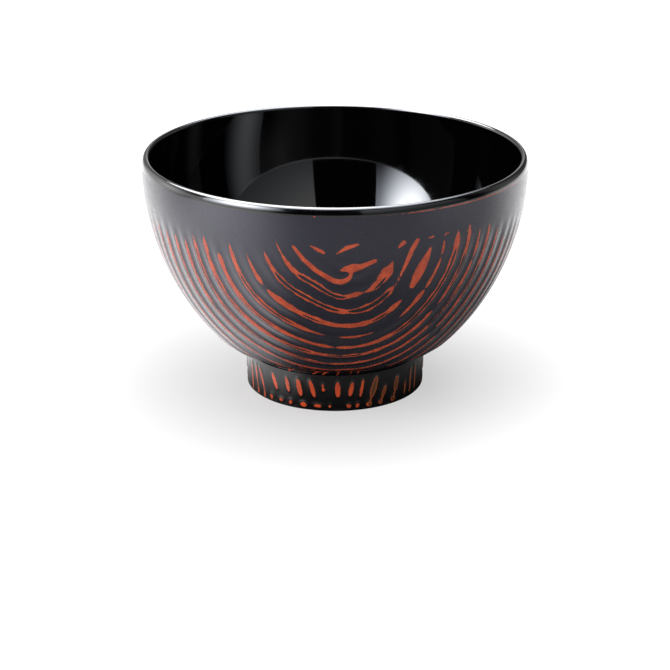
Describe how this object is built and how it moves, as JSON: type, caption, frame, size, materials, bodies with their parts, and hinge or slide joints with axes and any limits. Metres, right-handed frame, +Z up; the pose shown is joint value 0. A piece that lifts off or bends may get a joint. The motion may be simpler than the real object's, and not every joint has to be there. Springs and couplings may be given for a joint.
{
  "type": "soup bowl",
  "caption": "Footed soup bowl of lacquered wood with a rounded lip, mirror black inside and a wood-grain relief outside whose crests are polished through to red.",
  "frame": {"origin": "centre of the foot ring, on the table", "axes": "+Z up along the bowl's axis, front of the grain towards -Y"},
  "size_m": [0.1106, 0.1106, 0.0696],
  "materials": {
    "core_wood": "turned wood under the lacquer",
    "black_gloss": "mirror-gloss black lacquer",
    "black_satin": "polished satin black lacquer",
    "red_lacquer": "polished vermilion lacquer"
  },
  "bodies": {
    "root": {"wood_core": "core_wood", "inner_coat": "black_gloss", "rim_coat": "black_gloss", "red_wall_coat": "red_lacquer", "black_wall_coat": "black_satin", "wall_grain": "red_lacquer", "red_foot_coat": "red_lacquer", "black_foot_coat": "black_satin", "foot_grain": "red_lacquer", "foot_rest_coat": "black_satin", "foot_well_coat": "black_satin"}
  },
  "joints": []
}
